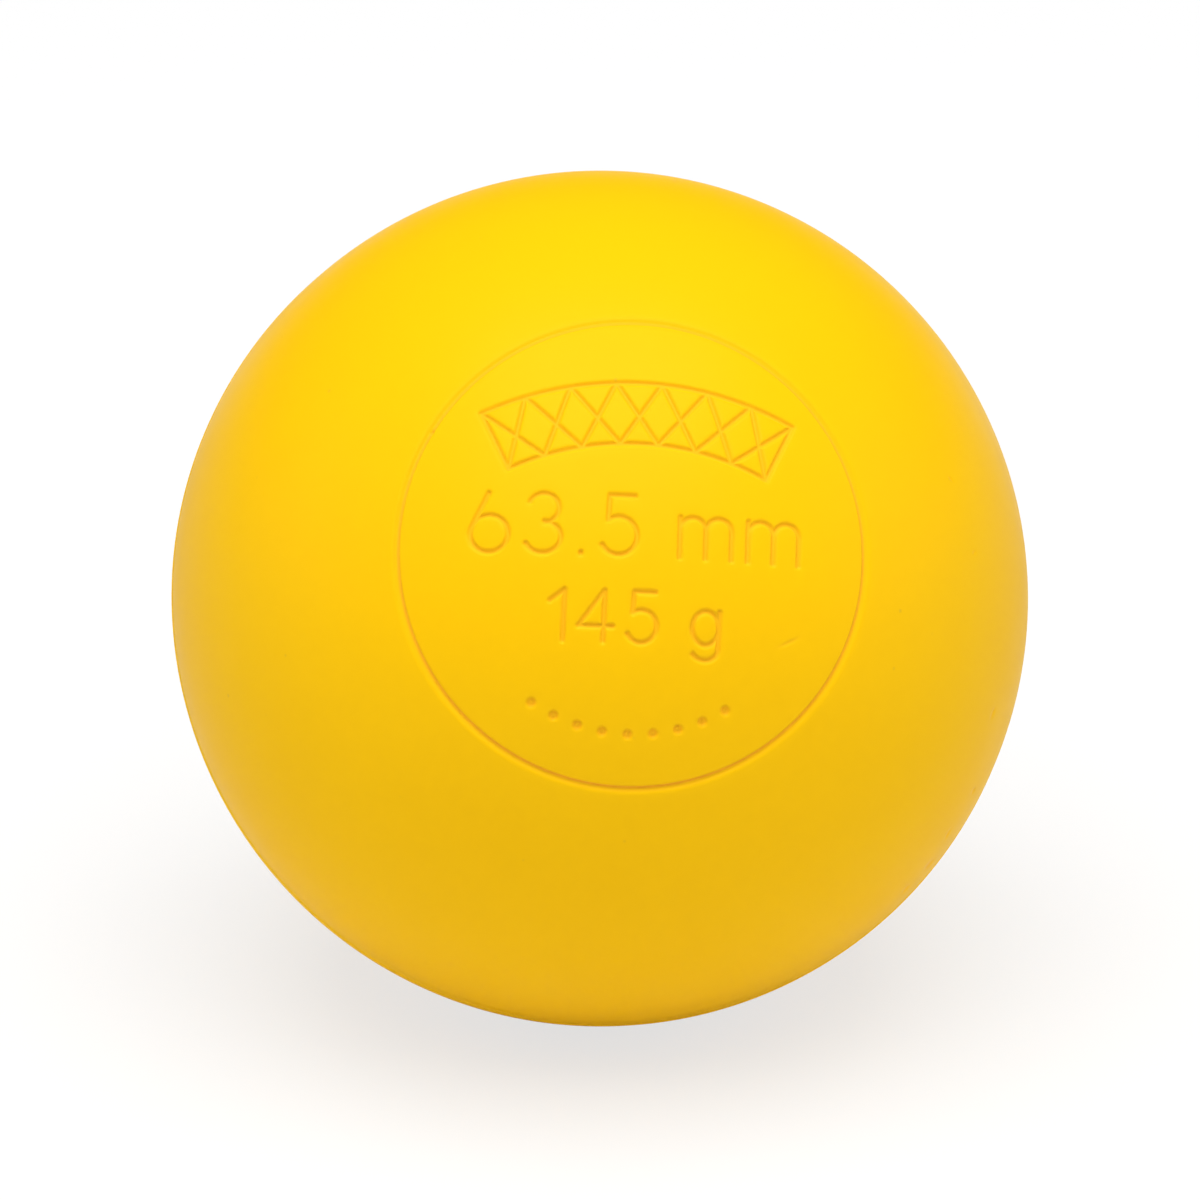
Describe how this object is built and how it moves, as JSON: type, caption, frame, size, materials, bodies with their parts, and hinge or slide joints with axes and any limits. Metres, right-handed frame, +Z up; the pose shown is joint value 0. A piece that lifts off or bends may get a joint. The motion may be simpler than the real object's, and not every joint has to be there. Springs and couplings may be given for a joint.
{
  "type": "lacrosse ball",
  "caption": "Solid yellow rubber lacrosse ball with a ring-grooved stamp disc on its front and a trimmed parting line round it, for throwing, catching and bouncing.",
  "frame": {"origin": "centre of the ball", "axes": "+Z up, -Y towards the viewer; the stamp's axis lies in the YZ plane, facing -Y and tipped up by 30 degrees"},
  "size_m": [0.0636, 0.0634, 0.0634],
  "materials": {
    "cover_rubber": "satin",
    "core_rubber": "matte"
  },
  "bodies": {
    "root": {"core": "core_rubber", "stamped_cover": "cover_rubber", "plain_cover": "cover_rubber"}
  },
  "joints": []
}
